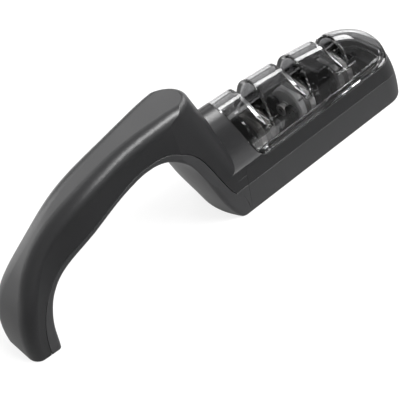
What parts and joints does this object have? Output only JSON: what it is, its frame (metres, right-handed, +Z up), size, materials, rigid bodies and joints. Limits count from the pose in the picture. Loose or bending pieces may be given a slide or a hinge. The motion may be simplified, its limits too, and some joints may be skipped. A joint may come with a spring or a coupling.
{
  "type": "three-stage knife sharpener",
  "caption": "Handled bench knife sharpener: arched grip, two-part shell, smoke-clear slotted cover over paired ceramic wheels on cross axles above a water tray.",
  "frame": {"origin": "on the table plane, under the middle of the length and width", "axes": "+X from the handle's foot towards the nose, +Z up, knives are drawn along Y"},
  "size_m": [0.2299, 0.034, 0.0712],
  "materials": {
    "lower_plastic": "satin",
    "upper_plastic": "satin",
    "smoke_cover": "polished, clear smoke",
    "tray_plastic": "satin",
    "cradle_plastic": "satin",
    "guard_plastic": "semi-gloss",
    "ceramic_coarse": "rough grit",
    "ceramic_medium": "medium grit",
    "ceramic_fine": "fine grit",
    "axle_steel": "ground",
    "bush_plastic": "satin",
    "screw_steel": "black zinc",
    "rubber": "matte"
  },
  "bodies": {
    "housing": {"lower_shell": "lower_plastic", "upper_shell": "upper_plastic", "water_tray": "tray_plastic", "wheel_cradle": "cradle_plastic", "coarse_guard": "guard_plastic", "fine_stage_cap": "guard_plastic", "coarse_bushes": "bush_plastic", "medium_bushes": "bush_plastic", "fine_bushes": "bush_plastic", "shell_screws": "screw_steel", "base_feet": "rubber", "handle_foot_pad": "rubber"},
    "cover_lid": {"cover": "smoke_cover"},
    "coarse_wheels": {"coarse_axle": "axle_steel", "coarse_left_wheel": "ceramic_coarse", "coarse_right_wheel": "ceramic_coarse"},
    "medium_wheels": {"medium_axle": "axle_steel", "medium_left_wheel": "ceramic_medium", "medium_right_wheel": "ceramic_medium"},
    "fine_wheels": {"fine_axle": "axle_steel", "fine_left_wheel": "ceramic_fine", "fine_right_wheel": "ceramic_fine"}
  },
  "joints": [
    {"name": "cover_lift", "type": "slide", "parent": "housing", "child": "cover_lid", "axis": [0, 0, 1], "range_m": [0, 0.03]},
    {"name": "coarse_wheels_spin", "type": "hinge", "parent": "housing", "child": "coarse_wheels", "pos_m": [0.0284, 0, 0.0248], "axis": [1, 0, 0], "continuous": true},
    {"name": "medium_wheels_spin", "type": "hinge", "parent": "housing", "child": "medium_wheels", "pos_m": [0.0538, 0, 0.0248], "axis": [1, 0, 0], "continuous": true},
    {"name": "fine_wheels_spin", "type": "hinge", "parent": "housing", "child": "fine_wheels", "pos_m": [0.0792, 0, 0.0248], "axis": [1, 0, 0], "continuous": true}
  ]
}
